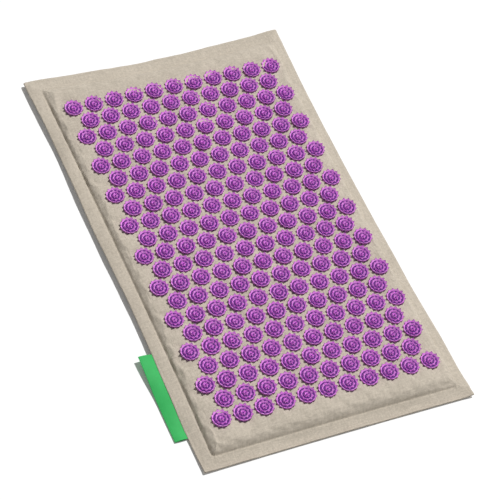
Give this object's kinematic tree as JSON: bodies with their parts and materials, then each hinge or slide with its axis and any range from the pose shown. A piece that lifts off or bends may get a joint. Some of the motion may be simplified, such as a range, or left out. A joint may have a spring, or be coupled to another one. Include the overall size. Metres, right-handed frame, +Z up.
{
  "type": "acupressure mat",
  "caption": "Padded linen mat with a raised field of moulded lotus discs, a flat sewn flange all round, a folded side tab and a zip across the back.",
  "frame": {"origin": "centre of the cover's cut outline, on the mat's flat underside, on the floor", "axes": "+Z up out of the disc side, +Y along the mat's long side towards the end with the zip underneath, +X across, away from the label tab"},
  "size_m": [0.4525, 0.7225, 0.026],
  "materials": {
    "linen": "natural woven linen, matt",
    "back_linen": "natural woven linen, matt",
    "lotus_plastic": "moulded violet plastic, glossy",
    "foam": "open-cell foam, matt",
    "label_tape": "green satin label tape",
    "zip_tape": "woven polyester tape",
    "zip_nylon": "nylon coil, semi-matt",
    "zip_metal": "nickel-plated zinc, satin"
  },
  "bodies": {
    "cover": {"flower_panel": "linen", "back_panel": "back_linen", "core_pad": "foam", "label_tab": "label_tape", "zip_tape_near": "zip_tape", "zip_tape_far": "zip_tape", "zip_coil_near": "zip_nylon", "zip_coil_far": "zip_nylon", "zip_top_stop_near": "zip_metal", "zip_top_stop_far": "zip_metal", "zip_bottom_stop": "zip_metal"},
    "slider": {"zip_slider": "zip_metal"},
    "pull_tab": {"zip_pull_tab": "zip_metal"}
  },
  "joints": [
    {"name": "zip_slide", "type": "slide", "parent": "cover", "child": "slider", "axis": [-1, 0, 0], "range_m": [0, 0.2865]},
    {"name": "pull_tab_hinge", "type": "hinge", "parent": "slider", "child": "pull_tab", "pos_m": [0.14595, 0.272, 0.00305], "axis": [0, -1, 0], "range_deg": [0, 180]}
  ]
}
